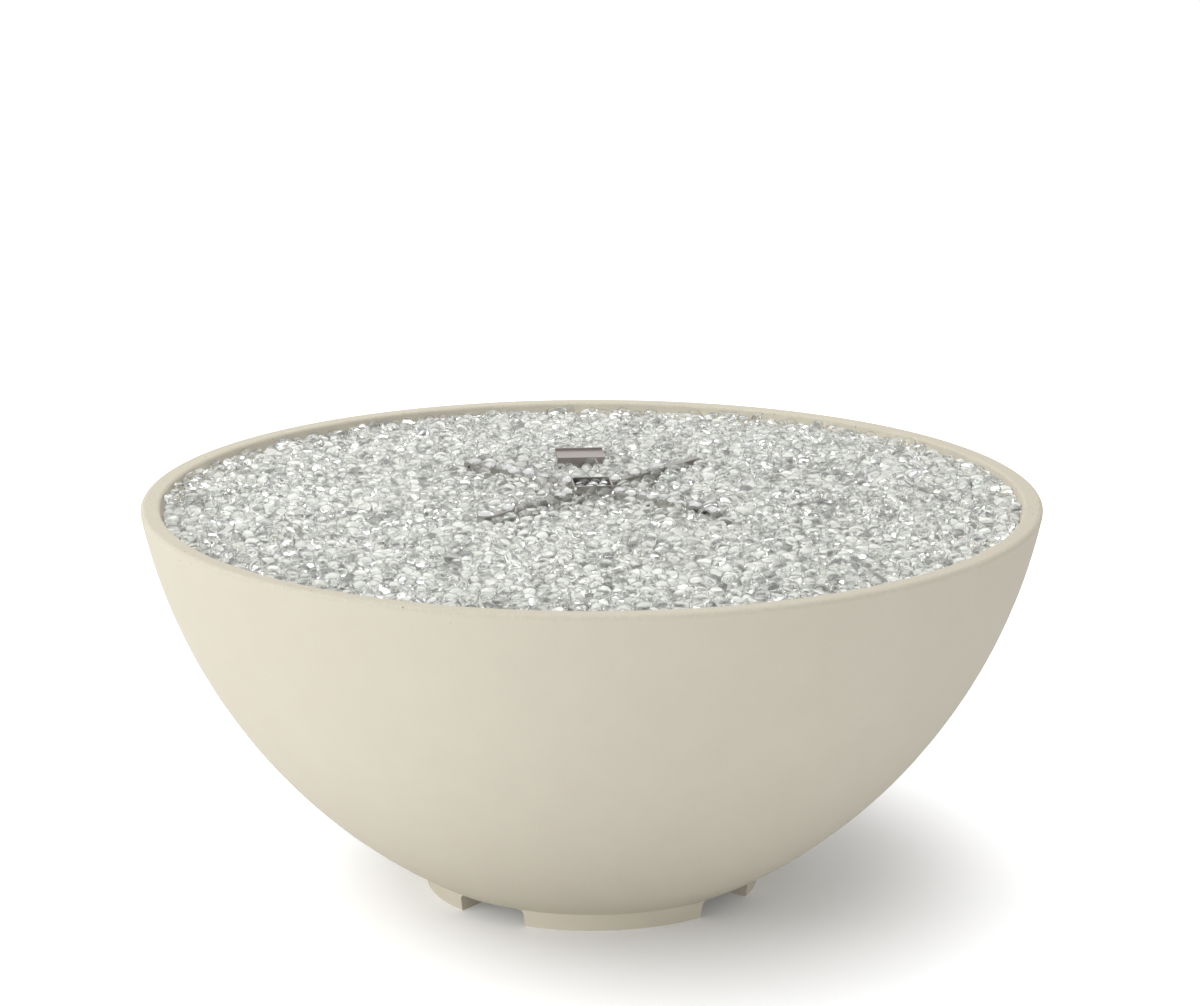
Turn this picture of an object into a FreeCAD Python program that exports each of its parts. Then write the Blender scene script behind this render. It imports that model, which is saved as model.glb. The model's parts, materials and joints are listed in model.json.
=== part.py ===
import FreeCAD, Part
import math
import os

from FreeCAD import Placement, Rotation, Vector

# A cast concrete fire bowl with a cross burner, a glass bed and a control panel in its back.
# Lengths are in millimetres and angles in degrees. +Z is up, the floor is z = 0, the centre of the
# foot ring is x = y = 0, and the control panel is at +Y.

# Bowl
bowl_diameter = 1066.8
bowl_height = 473.0
foot_diameter = 406.0
foot_height = 21.0
foot_width = 43.0
foot_taper = 3.5
wall_bulge = 63.0
wall = 23.0
rim_outer_round = 5.0
rim_inner_round = 4.0
base_thickness = 28.0
base_hole_diameter = 180.0
foot_count = 4
foot_turn = 3.6
slot_width = 93.0
slot_corner = 6.0
slot_reach = 30.0

# Ledge and burner pan
ledge_depth = 70.0
ledge_width = 46.0
ledge_thickness = 22.0
pan_thickness = 2.0
pan_lip = 14.0
pan_clearance = 3.0
weep_diameter = 9.5
weep_circle = 640.0
weep_count = 8

# Glass bed
glass_crown_rise = 5.0
glass_edge_drop = 21.0
glass_clearance = 0.5

# Cross burner
arm_rise = 12.0
arm_reach = 198.0
arm_width = 11.0
arm_height = 24.0
arm_wall = 1.5
cap_thickness = 1.5
port_diameter = 3.0
port_pitch = 16.0
port_first = 46.0
port_depth = 4.0
hub_size = 47.0
hub_corner = 6.0
hub_lip = 6.0
hub_floor = 4.0
hub_wall = 2.0

# Riser, mixer and orifice
riser_diameter = 21.3
riser_bore = 16.0
thread_clearance = 0.15
locknut_flats = 32.0
locknut_height = 8.0
mixer_drop = 53.0
mixer_length = 88.0
mixer_diameter = 32.0
mixer_bore = 18.0
mixer_floor = 10.0
mixer_socket = 15.0
mixer_shoulder = 36.4
shoulder_length = 17.0
window_height = 18.0
window_width = 9.0
window_count = 4
window_base = 23.0
shutter_wall = 2.05
shutter_clearance = 0.15
shutter_length = 28.0
shutter_gap = 0.3
shutter_screw_diameter = 4.0
shutter_screw_head = 9.0
shutter_screw_reach = 10.0
shutter_screw_head_length = 6.0
orifice_shank = 10.0
orifice_bore = 2.4
orifice_flats = 16.0
orifice_hex = 10.0
orifice_nose = 6.0
elbow_size = 22.0
elbow_corner = 3.0
elbow_nipple = 16.0
elbow_nipple_length = 15.0
elbow_bore = 8.0
elbow_socket = 11.0

# Ignition hood and what stands under it
hood_width = 58.0
hood_depth = 42.0
hood_y = 171.0
hood_wall = 1.5
hood_hem = 2.4
hood_flange = 13.0
hood_flange_depth = 30.0
hood_slot_count = 5
hood_slot_width = 4.0
hood_slot_height = 24.0
hood_slot_pitch = 9.0
hood_slot_drop = 55.0
hood_screw_diameter = 4.0
hood_screw_head = 8.0
hood_screw_head_height = 2.8
hood_screw_length = 9.0
pan_port_width = 44.0
pan_port_depth = 20.0
bracket_width = 50.0
bracket_depth = 34.0
bracket_thickness = 2.0
pilot_spacing = 14.0
pilot_diameter = 10.0
pilot_flange = 12.0
pilot_flange_height = 2.0
pilot_tail = 8.0
pilot_room = 21.0
pilot_bore = 4.0
pilot_floor = 10.0
pilot_slot_width = 2.0
pilot_slot_depth = 4.0
insulator_diameter = 8.0
insulator_room = 43.0
rod_diameter = 2.4
rod_rise = 14.0
rod_lean = 7.0
rod_tip = 27.0
probe_diameter = 6.0
probe_room = 24.0

# Control panel, seen from behind the bowl: x to the right, y up the wall, z out of the wall
panel_drop = 203.0
panel_width = 170.0
panel_height = 90.0
panel_thickness = 2.5
panel_corner = 8.0
panel_sink = 10.0
panel_clearance = 2.0
panel_seat = 12.0
panel_screw_diameter = 5.0
panel_screw_head = 9.5
panel_screw_head_height = 3.0
panel_screw_length = 18.0
panel_screw_inset = 8.0
screw_clearance = 0.3
insert_clearance = 0.1

# Driver slot of every screw, as shares of the head's width and height
screw_slot_length = 0.6
screw_slot_width = 0.16
screw_slot_depth = 0.4

# Gas valve, stem and knob
knob_x = -38.0
valve_width = 40.0
valve_height = 44.0
valve_depth = 46.0
valve_corner = 4.0
chamber_diameter = 18.0
chamber_depth = 20.0
stem_diameter = 8.0
stem_clearance = 0.1
stem_tail = 24.0
stem_shoulder = 11.0
stem_nose = 24.0
stem_hole_clearance = 0.6
collar_diameter = 17.2
collar_thickness = 2.5
collar_gap = 0.3
knob_travel = 4.0
knob_diameter = 44.0
knob_grip_diameter = 34.0
knob_skirt = 5.0
knob_height = 23.0
knob_gap = 7.0
knob_flutes = 10
knob_flute_diameter = 6.0
knob_flute_depth = 1.8
knob_mark_width = 2.0
knob_mark_length = 11.0
knob_mark_inset = 1.7
knob_mark_depth = 0.8
valve_screw_spread = 14.0
valve_screw_diameter = 4.0
valve_screw_head = 7.0
valve_screw_head_height = 2.0
valve_screw_length = 10.0
outlet_diameter = 18.0
outlet_length = 12.0
port_offset_x = 12.0
port_offset_y = 14.0
side_port_diameter = 8.0
inlet_flats = 19.0
inlet_hex = 10.0
inlet_thread = 15.9
inlet_thread_length = 16.0
inlet_bore = 8.0
inlet_depth = 30.0

# Igniter
igniter_x = 42.0
igniter_diameter = 22.0
igniter_bore = 15.0
igniter_length = 68.0
igniter_floor = 2.0
igniter_flange = 30.0
igniter_flange_height = 2.5
igniter_hole_clearance = 0.15
igniter_nut_flats = 28.0
igniter_nut_height = 6.0
terminal_width = 6.0
terminal_thickness = 0.8
terminal_length = 8.0
terminal_spacing = 7.0
battery_diameter = 14.2
battery_length = 49.0
battery_nub_diameter = 5.5
battery_nub_height = 1.5
cap_diameter = 28.0
cap_height = 11.0
cap_lip = 2.0
button_diameter = 15.6
button_flange = 17.8
button_flange_height = 3.2
button_stand = 3.0
button_clearance = 0.2
button_gap = 0.3
button_boss = 14.4
button_boss_length = 7.0
spring_gap = 0.3
spring_wall = 1.2
spring_room = 0.7

# Lines between the panel and the burner
gas_line_diameter = 16.0
pilot_tube_diameter = 6.0
probe_lead_diameter = 2.6
spark_lead_diameter = 4.0
line_drop = 57.0
line_exit = 44.0
gas_line_exit = 44.0
gas_line_level = 66.0
gas_line_rise = 8.0
gas_line_rise_share = 0.35
gas_line_dip_share = 0.72
pilot_tube_sag = 8.0
lead_sag = 14.0
route_share = 0.45

# Cuts run this far past the faces they open, and edges are found to within this much
past = 1.0
near = 0.01
parallel = 0.99

# Values worked out from the sizes above
bowl_radius = bowl_diameter / 2
foot_radius = foot_diameter / 2
ledge_z = bowl_height - ledge_depth
pan_top = ledge_z + pan_thickness
glass_crown = bowl_height + glass_crown_rise
glass_edge = bowl_height - glass_edge_drop
arm_top = bowl_height + arm_rise
arm_bottom = arm_top - arm_height
hub_bottom = arm_bottom - hub_floor
mixer_top = ledge_z - mixer_drop
mixer_bottom = mixer_top - mixer_length
shutter_base = mixer_bottom + shoulder_length + shutter_gap
window_z = mixer_bottom + window_base
elbow_top = mixer_bottom - orifice_hex
elbow_axis = elbow_top - elbow_size / 2
hood_top = arm_top
pilot_side_z = pan_top + bracket_thickness
pilot_base = ledge_z - pilot_tail
panel_centre_height = bowl_height - panel_drop
panel_back = -panel_sink - panel_thickness
window_run = 3 * wall
valve_back = panel_back - valve_depth
port_end = valve_back - outlet_length
chamber_floor = panel_back - chamber_depth
collar_back = panel_back - collar_gap - collar_thickness
igniter_back = -panel_sink - igniter_length
battery_top = igniter_back + igniter_floor + spring_gap + battery_length
cap_base = -panel_sink + igniter_flange_height
cap_under = cap_base + cap_height - cap_lip
flange_top = cap_under - button_gap
arm_angles = {"rear_right": 45.0, "rear_left": 135.0, "front_left": 225.0, "front_right": 315.0}


def box(x0, x1, y0, y1, z0, z1):
    return Part.makeBox(x1 - x0, y1 - y0, z1 - z0, Vector(x0, y0, z0))


def centred_box(width, depth, z0, z1, x=0.0, y=0.0):
    return box(x - width / 2, x + width / 2, y - depth / 2, y + depth / 2, z0, z1)


def cylinder(diameter, z0, z1, x=0.0, y=0.0):
    return Part.makeCylinder(diameter / 2, z1 - z0, Vector(x, y, z0))


def ring(outer, inner, z0, z1, x=0.0, y=0.0):
    return cylinder(outer, z0, z1, x, y).cut(cylinder(inner, z0 - past, z1 + past, x, y))


def rounded_block(width, depth, z0, z1, corner, x=0.0, y=0.0):
    block = centred_box(width, depth, z0, z1, x, y)
    upright = [e for e in block.Edges if abs(e.tangentAt(e.FirstParameter).z) > parallel]
    return block.makeFillet(corner, upright)


def hexagon(flats, z0, z1, x=0.0, y=0.0):
    reach = flats / math.sqrt(3)
    points = []
    for step in range(7):
        turn = math.radians(60 * step)
        points.append(Vector(x + reach * math.cos(turn), y + reach * math.sin(turn), z0))
    return Part.Face(Part.makePolygon(points)).extrude(Vector(0, 0, z1 - z0))


def along_y(diameter, y0, y1, x, z):
    return Part.makeCylinder(diameter / 2, y1 - y0, Vector(x, y0, z), Vector(0, 1, 0))


def turned(shape, degrees):
    copy = shape.copy()
    copy.rotate(Vector(0, 0, 0), Vector(0, 0, 1), degrees)
    return copy


def write(node, *solids):
    shape = solids[0] if len(solids) == 1 else Part.makeCompound(list(solids))
    for solid in shape.Solids:
        if not solid.isValid():
            raise ValueError(node + " is not a valid solid")
    shape.exportStep("parts/" + node + ".step")
    print(node, len(shape.Solids), "solids", round(shape.Volume / 1000, 1), "cm3")


# The bowl's wall is one arc, seen in the half plane of radius and height

def wall_centre():
    rim = Vector(bowl_radius, 0, bowl_height)
    foot = Vector(foot_radius, 0, foot_height)
    chord = rim - foot
    radius = (chord.Length ** 2 / 4 + wall_bulge ** 2) / (2 * wall_bulge)
    inward = Vector(-chord.z, 0, chord.x).normalize()
    return (rim + foot) * 0.5 + inward * (radius - wall_bulge), radius


def wall_radius(z, depth=0.0):
    centre, radius = wall_centre()
    return centre.x + math.sqrt((radius - depth) ** 2 - (z - centre.z) ** 2)


def wall_point(z, depth=0.0):
    return Vector(wall_radius(z, depth), 0, z)


def wall_curve(z0, z1, depth=0.0):
    points = [wall_point(z, depth) for z in (z0, (z0 + z1) / 2, z1)]
    return Part.Arc(*points).toShape()


def wall_lean(z):
    centre, radius = wall_centre()
    return math.degrees(math.asin((centre.z - z) / radius))


def line(a, b):
    return Part.LineSegment(Vector(*a), Vector(*b)).toShape()


def chain(points):
    return [line(a, b) for a, b in zip(points, points[1:])]


def spun(edges):
    face = Part.Face(Part.Wire(Part.sortEdges(edges)[0]))
    return face.revolve(Vector(0, 0, 0), Vector(0, 0, 1), 360)


def bowl_body():
    base_top = foot_height + base_thickness
    ledge_radius = wall_radius(ledge_z, wall) - ledge_width
    ledge_under = ledge_z - ledge_thickness
    ledge_root = ledge_under - ledge_width
    hole = base_hole_diameter / 2
    ring_inner = foot_radius - foot_width
    inner_low = [(hole, 0, foot_height), (hole, 0, base_top), tuple(wall_point(base_top, wall))]
    ledge = [tuple(wall_point(ledge_root, wall)), (ledge_radius, 0, ledge_under),
             (ledge_radius, 0, ledge_z), tuple(wall_point(ledge_z, wall))]
    rim = [tuple(wall_point(bowl_height, wall)), tuple(wall_point(bowl_height))]
    foot = [tuple(wall_point(foot_height)), (foot_radius - foot_taper, 0, 0), (ring_inner, 0, 0),
            (ring_inner, 0, foot_height), (hole, 0, foot_height)]
    edges = chain(inner_low) + [wall_curve(base_top, ledge_root, wall)] + chain(ledge)
    edges += [wall_curve(ledge_z, bowl_height, wall)] + chain(rim)
    edges += [wall_curve(bowl_height, foot_height)] + chain(foot)
    return spun(edges)


def rim_edges(body, radius):
    found = []
    for edge in body.Edges:
        middle = edge.valueAt((edge.FirstParameter + edge.LastParameter) / 2)
        off_radius = abs(math.hypot(middle.x, middle.y) - radius)
        if abs(middle.z - bowl_height) < near and off_radius < near:
            found.append(edge)
    return found


def foot_slot():
    inner = foot_radius - foot_width - slot_reach
    outer = foot_radius + slot_reach
    slot = box(inner, outer, -slot_width / 2, slot_width / 2, -past, foot_height)
    top = [e for e in slot.Edges
           if abs(e.CenterOfMass.z - foot_height) < near and abs(e.CenterOfMass.y) > slot_width / 4
           and abs(e.tangentAt(e.FirstParameter).x) > parallel]
    return slot.makeFillet(slot_corner, top)


def bowl_shell():
    body = bowl_body()
    body = body.makeFillet(rim_outer_round, rim_edges(body, bowl_radius))
    body = body.makeFillet(rim_inner_round, rim_edges(body, wall_radius(bowl_height, wall)))
    for step in range(foot_count):
        angle = foot_turn - 90 + (step + 0.5) * 360 / foot_count
        body = body.cut(turned(foot_slot(), angle))
    body = body.cut(on_panel(panel_pocket()))
    for x, y in panel_screw_places():
        hole = cylinder(panel_screw_diameter + 2 * insert_clearance,
                        panel_back - panel_screw_length, panel_back + past, x, y)
        body = body.cut(on_panel(hole))
    return body


# The panel's own frame is turned so that its z points out of the wall at the panel's centre

def panel_frame():
    lean = wall_lean(panel_centre_height)
    tilt = Rotation(Vector(1, 0, 0), -(90 + lean))
    facing = tilt.multiply(Rotation(Vector(0, 0, 1), 180))
    return Placement(Vector(0, wall_radius(panel_centre_height), panel_centre_height), facing)


def on_panel(shape):
    copy = shape.copy()
    copy.Placement = panel_frame().multiply(copy.Placement)
    return copy


def panel_point(x, y, z):
    return panel_frame().multVec(Vector(x, y, z))


def panel_pocket():
    pocket = rounded_block(panel_width + 2 * panel_clearance, panel_height + 2 * panel_clearance,
                           panel_back, wall, panel_corner + panel_clearance)
    window = rounded_block(panel_width - 2 * panel_seat, panel_height - 2 * panel_seat,
                           panel_back - window_run, panel_back + past, panel_corner)
    return pocket.fuse(window)


def panel_screw_places():
    x = panel_width / 2 - panel_screw_inset
    y = panel_height / 2 - panel_screw_inset
    return [(-x, -y), (x, -y), (x, y), (-x, y)]


def valve_screw_places():
    return [(knob_x - valve_screw_spread, 0), (knob_x + valve_screw_spread, 0)]


def control_panel():
    plate = rounded_block(panel_width, panel_height, panel_back, -panel_sink, panel_corner)
    stem_hole = stem_shoulder + 2 * stem_hole_clearance
    holes = [cylinder(stem_hole, panel_back - past, 0, knob_x, 0),
             cylinder(igniter_diameter + 2 * igniter_hole_clearance, panel_back - past, 0, igniter_x, 0)]
    for x, y in panel_screw_places():
        holes.append(cylinder(panel_screw_diameter + 2 * screw_clearance, panel_back - past, 0, x, y))
    for x, y in valve_screw_places():
        holes.append(cylinder(valve_screw_diameter + 2 * screw_clearance, panel_back - past, 0, x, y))
    for hole in holes:
        plate = plate.cut(hole)
    return plate


def screw(diameter, length, head, head_height, x, y, seat):
    shank = cylinder(diameter, seat - length, seat, x, y)
    top = cylinder(head, seat, seat + head_height, x, y)
    recess_floor = seat + head_height * (1 - screw_slot_depth)
    recess = centred_box(head * screw_slot_length, head * screw_slot_width, recess_floor,
                         seat + head_height + past, x, y)
    return shank.fuse(top).cut(recess)


def panel_screws():
    return [screw(panel_screw_diameter, panel_screw_length, panel_screw_head, panel_screw_head_height,
                  x, y, -panel_sink) for x, y in panel_screw_places()]


def valve_screws():
    return [screw(valve_screw_diameter, valve_screw_length, valve_screw_head, valve_screw_head_height,
                  x, y, -panel_sink) for x, y in valve_screw_places()]


# Gas valve with the push-and-turn stem

def gas_valve():
    body = rounded_block(valve_width, valve_height, valve_back, panel_back, valve_corner, knob_x, 0)
    outlet = cylinder(outlet_diameter, port_end, valve_back, knob_x, 0)
    body = body.fuse(outlet)
    for side in (-1, 1):
        body = body.fuse(cylinder(side_port_diameter, port_end, valve_back,
                                  knob_x + side * port_offset_x, port_offset_y))
    cuts = [cylinder(chamber_diameter, chamber_floor, panel_back + past, knob_x, 0),
            cylinder(stem_diameter + 2 * stem_clearance, collar_back - stem_tail - knob_travel - past,
                     chamber_floor + past, knob_x, 0)]
    for x, y in valve_screw_places():
        cuts.append(cylinder(valve_screw_diameter + 2 * insert_clearance,
                             panel_back - valve_screw_length, panel_back + past, x, y))
    for cut in cuts:
        body = body.cut(cut)
    return body


def gas_inlet():
    z = panel_back - inlet_depth
    y0 = -valve_height / 2
    hexagonal = hexagon(inlet_flats, 0, inlet_hex)
    thread = cylinder(inlet_thread, inlet_hex, inlet_hex + inlet_thread_length)
    bore = cylinder(inlet_bore, -past, inlet_hex + inlet_thread_length + past)
    fitting = hexagonal.fuse(thread).cut(bore)
    fitting.Placement = Placement(Vector(knob_x, y0, z), Rotation(Vector(1, 0, 0), 90))
    return fitting


def valve_stem():
    tail = cylinder(stem_diameter, collar_back - stem_tail, panel_back - collar_gap, knob_x, 0)
    nose = cylinder(stem_shoulder, panel_back - collar_gap, panel_back + stem_nose, knob_x, 0)
    return tail.fuse(nose)


def thrust_collar():
    return ring(collar_diameter, stem_diameter + 2 * stem_clearance, collar_back,
                panel_back - collar_gap, knob_x, 0)


def knob_spring():
    inner = stem_diameter + 2 * spring_room
    return ring(inner + 2 * spring_wall, inner, chamber_floor + spring_gap, collar_back - spring_gap,
                knob_x, 0)


def control_knob():
    base = -panel_sink + knob_gap
    knob = cylinder(knob_diameter, base, base + knob_skirt, knob_x, 0)
    knob = knob.fuse(cylinder(knob_grip_diameter, base + knob_skirt, base + knob_height, knob_x, 0))
    for step in range(knob_flutes):
        turn = math.radians((step + 0.5) * 360 / knob_flutes)
        reach = knob_grip_diameter / 2 + knob_flute_diameter / 2 - knob_flute_depth
        knob = knob.cut(cylinder(knob_flute_diameter, base + knob_skirt, base + knob_height + past,
                                 knob_x + reach * math.cos(turn), reach * math.sin(turn)))
    top = base + knob_height
    mark_end = knob_grip_diameter / 2 - knob_mark_inset
    mark = box(knob_x - knob_mark_width / 2, knob_x + knob_mark_width / 2, mark_end - knob_mark_length,
               mark_end, top - knob_mark_depth, top + past)
    bore = cylinder(stem_shoulder + 2 * stem_clearance, base - past,
                    panel_back + stem_nose + stem_clearance, knob_x, 0)
    return knob.cut(mark).cut(bore)


# Push-button spark igniter with its battery

def igniter_body():
    body = cylinder(igniter_diameter, igniter_back, -panel_sink, igniter_x, 0)
    body = body.fuse(cylinder(igniter_flange, -panel_sink, cap_base, igniter_x, 0))
    body = body.cut(cylinder(igniter_bore, igniter_back + igniter_floor, cap_base + past, igniter_x, 0))
    for side in (-1, 1):
        body = body.fuse(centred_box(terminal_thickness, terminal_width, igniter_back - terminal_length,
                                     igniter_back, igniter_x + side * terminal_spacing, 0))
    return body


def igniter_nut():
    nut = hexagon(igniter_nut_flats, panel_back - igniter_nut_height, panel_back, igniter_x, 0)
    return nut.cut(cylinder(igniter_diameter + 2 * igniter_hole_clearance,
                            panel_back - igniter_nut_height - past, panel_back + past, igniter_x, 0))


def igniter_battery():
    base = igniter_back + igniter_floor + spring_gap
    can = cylinder(battery_diameter, base, battery_top, igniter_x, 0)
    nub = cylinder(battery_nub_diameter, battery_top, battery_top + battery_nub_height, igniter_x, 0)
    return can.fuse(nub)


def igniter_cap():
    cap = cylinder(cap_diameter, cap_base, cap_base + cap_height, igniter_x, 0)
    cap = cap.cut(cylinder(button_flange + 2 * button_clearance, cap_base - past, cap_under, igniter_x, 0))
    return cap.cut(cylinder(button_diameter + 2 * button_clearance, cap_under - past,
                            cap_base + cap_height + past, igniter_x, 0))


def igniter_button():
    flange_base = flange_top - button_flange_height
    button = cylinder(button_flange, flange_base, flange_top, igniter_x, 0)
    button = button.fuse(cylinder(button_diameter, flange_top, cap_base + cap_height + button_stand,
                                  igniter_x, 0))
    return button.fuse(cylinder(button_boss, flange_base - button_boss_length, flange_base, igniter_x, 0))


def button_spring():
    top = flange_top - button_flange_height - button_boss_length - spring_gap
    inner = battery_nub_diameter + 2 * spring_room
    return ring(inner + 2 * spring_wall, inner, battery_top + spring_gap, top, igniter_x, 0)


# Pan and glass bed

def pan_radius():
    return wall_radius(ledge_z, wall) - pan_clearance


def burner_pan():
    radius = pan_radius()
    pan = cylinder(2 * radius, ledge_z, ledge_z + pan_lip)
    pan = pan.cut(cylinder(2 * (radius - pan_thickness), pan_top, ledge_z + pan_lip + past))
    cuts = [cylinder(riser_diameter + 2 * screw_clearance, ledge_z - past, pan_top + past),
            centred_box(pan_port_width, pan_port_depth, ledge_z - past, pan_top + past, 0, hood_y)]
    for x in hood_screw_places():
        tapped = hood_screw_diameter + 2 * insert_clearance
        cuts.append(cylinder(tapped, ledge_z - past, pan_top + past, x, hood_y))
    for step in range(weep_count):
        turn = math.radians(step * 360 / weep_count)
        cuts.append(cylinder(weep_diameter, ledge_z - past, pan_top + past,
                             weep_circle / 2 * math.cos(turn), weep_circle / 2 * math.sin(turn)))
    for cut in cuts:
        pan = pan.cut(cut)
    return pan


def glass_top():
    rise = glass_crown - glass_edge
    reach = wall_radius(glass_edge, wall) - glass_clearance
    radius = (reach ** 2 + rise ** 2) / (2 * rise)
    middle = reach / 2
    drop = radius - math.sqrt(radius ** 2 - middle ** 2)
    return Part.Arc(Vector(reach, 0, glass_edge), Vector(middle, 0, glass_crown - drop),
                    Vector(0, 0, glass_crown)).toShape()


def fire_glass():
    inside_lip = pan_radius() - pan_thickness - glass_clearance
    over_lip = ledge_z + pan_lip + glass_clearance
    side = [(0, 0, glass_crown), (0, 0, pan_top), (inside_lip, 0, pan_top), (inside_lip, 0, over_lip),
            (wall_radius(over_lip, wall) - glass_clearance, 0, over_lip),
            (wall_radius(glass_edge, wall) - glass_clearance, 0, glass_edge)]
    bed = spun(chain(side) + [glass_top()])
    room = 2 * glass_clearance
    above = glass_crown + past
    arm_room = box(0, arm_reach + glass_clearance, -arm_width / 2 - glass_clearance,
                   arm_width / 2 + glass_clearance, arm_bottom - glass_clearance, above)
    cuts = [turned(arm_room, angle) for angle in arm_angles.values()]
    cuts.append(centred_box(hub_size + room, hub_size + room, hub_bottom - glass_clearance, above))
    cuts.append(cylinder(riser_diameter + room, pan_top - past, above))
    cuts.append(cylinder(2 * locknut_flats / math.sqrt(3) + room, pan_top - past,
                         pan_top + locknut_height + glass_clearance))
    cuts.append(centred_box(hood_width + room, hood_depth + room, pan_top - past, above, 0, hood_y))
    cuts.append(centred_box(hood_width + 2 * hood_flange + room, hood_flange_depth + room, pan_top - past,
                            pan_top + hood_wall + hood_screw_head_height + glass_clearance, 0, hood_y))
    for cut in cuts:
        bed = bed.cut(cut)
    return bed


# Cross burner

def hub_block(z0, z1, inset=0.0):
    return rounded_block(hub_size - 2 * inset, hub_size - 2 * inset, z0, z1, hub_corner - inset)


def burner_hub():
    hub = hub_block(hub_bottom, arm_top + hub_lip)
    hub = hub.cut(hub_block(arm_top, arm_top + hub_lip + past, hub_wall))
    hub = hub.cut(hub_block(hub_bottom + hub_wall, arm_top - hub_wall, hub_wall))
    socket = riser_diameter + 2 * thread_clearance
    hub = hub.cut(cylinder(socket, hub_bottom - past, hub_bottom + hub_wall + past))
    for angle in arm_angles.values():
        mouth = box(hub_size / 2 - hub_wall, hub_size, -arm_width / 2 + arm_wall, arm_width / 2 - arm_wall,
                    arm_bottom + arm_wall, arm_top - hub_wall)
        hub = hub.cut(turned(mouth, angle))
    return hub


def burner_arm(angle):
    end = arm_reach - cap_thickness
    half = arm_width / 2
    arm = box(0, end, -half, half, arm_bottom, arm_top)
    arm = arm.cut(box(-past, end + past, -half + arm_wall, half - arm_wall, arm_bottom + arm_wall,
                      arm_top - arm_wall))
    port_count = int((end - port_first) // port_pitch) + 1
    for step in range(port_count):
        arm = arm.cut(along_y(port_diameter, -half - past, half + past, port_first + step * port_pitch,
                              arm_top - port_depth))
    return turned(arm, angle).cut(hub_block(hub_bottom, arm_top + hub_lip))


def arm_cap(angle):
    half = arm_width / 2
    cap = box(arm_reach - cap_thickness, arm_reach, -half, half, arm_bottom, arm_top)
    return turned(cap, angle)


def burner_riser():
    return ring(riser_diameter, riser_bore, mixer_top - mixer_socket, hub_bottom + hub_wall)


def riser_locknuts():
    nuts = []
    for base in (pan_top, ledge_z - locknut_height):
        nut = hexagon(locknut_flats, base, base + locknut_height)
        nuts.append(nut.cut(cylinder(riser_diameter + 2 * thread_clearance, base - past,
                                     base + locknut_height + past)))
    return nuts


# Air and gas mixer under the pan

def windows(outer):
    cuts = []
    for step in range(window_count):
        gap = box(0, outer, -window_width / 2, window_width / 2, window_z, window_z + window_height)
        cuts.append(turned(gap, step * 360 / window_count))
    return cuts


def air_mixer():
    mixer = cylinder(mixer_diameter, mixer_bottom, mixer_top)
    mixer = mixer.fuse(cylinder(mixer_shoulder, mixer_bottom, mixer_bottom + shoulder_length))
    mixer = mixer.cut(cylinder(mixer_bore, mixer_bottom + mixer_floor, mixer_top + past))
    mixer = mixer.cut(cylinder(riser_diameter + 2 * thread_clearance, mixer_top - mixer_socket,
                               mixer_top + past))
    mixer = mixer.cut(cylinder(orifice_shank + 2 * thread_clearance, mixer_bottom - past,
                               mixer_bottom + mixer_floor + past))
    for cut in windows(mixer_diameter):
        mixer = mixer.cut(cut)
    return mixer


def shutter_inner():
    return mixer_diameter + 2 * shutter_clearance


def shutter_screw_line(diameter, r0, r1):
    z = shutter_base + shutter_length / 2
    rod = Part.makeCylinder(diameter / 2, r1 - r0, Vector(r0, 0, z), Vector(1, 0, 0))
    return turned(rod, 180 / window_count)


def air_shutter():
    outer = shutter_inner() + 2 * shutter_wall
    sleeve = ring(outer, shutter_inner(), shutter_base, shutter_base + shutter_length)
    for cut in windows(outer):
        sleeve = sleeve.cut(cut)
    return sleeve.cut(shutter_screw_line(shutter_screw_diameter + 2 * thread_clearance, 0, outer))


def shutter_screw():
    start = mixer_diameter / 2 + shutter_gap
    end = start + shutter_screw_reach
    shank = shutter_screw_line(shutter_screw_diameter, start, end)
    return shank.fuse(shutter_screw_line(shutter_screw_head, end - shutter_screw_head_length, end))


def gas_orifice():
    spud = cylinder(orifice_shank, elbow_top - elbow_socket, mixer_bottom + mixer_floor + orifice_nose)
    spud = spud.fuse(hexagon(orifice_flats, elbow_top, mixer_bottom))
    return spud.cut(cylinder(orifice_bore, elbow_top - elbow_socket - past, mixer_top))


def mixer_elbow():
    half = elbow_size / 2
    body = rounded_block(elbow_size, elbow_size, elbow_top - elbow_size, elbow_top, elbow_corner)
    body = body.fuse(along_y(elbow_nipple, half, half + elbow_nipple_length, 0, elbow_axis))
    socket = orifice_shank + 2 * thread_clearance
    body = body.cut(cylinder(socket, elbow_top - elbow_socket, elbow_top + past))
    return body.cut(along_y(elbow_bore, 0, half + elbow_nipple_length + past, 0, elbow_axis))


# Hood over the pilot, the spark electrode and the flame probe

def hood_screw_places():
    x = hood_width / 2 + hood_flange / 2
    return [-x, x]


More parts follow.
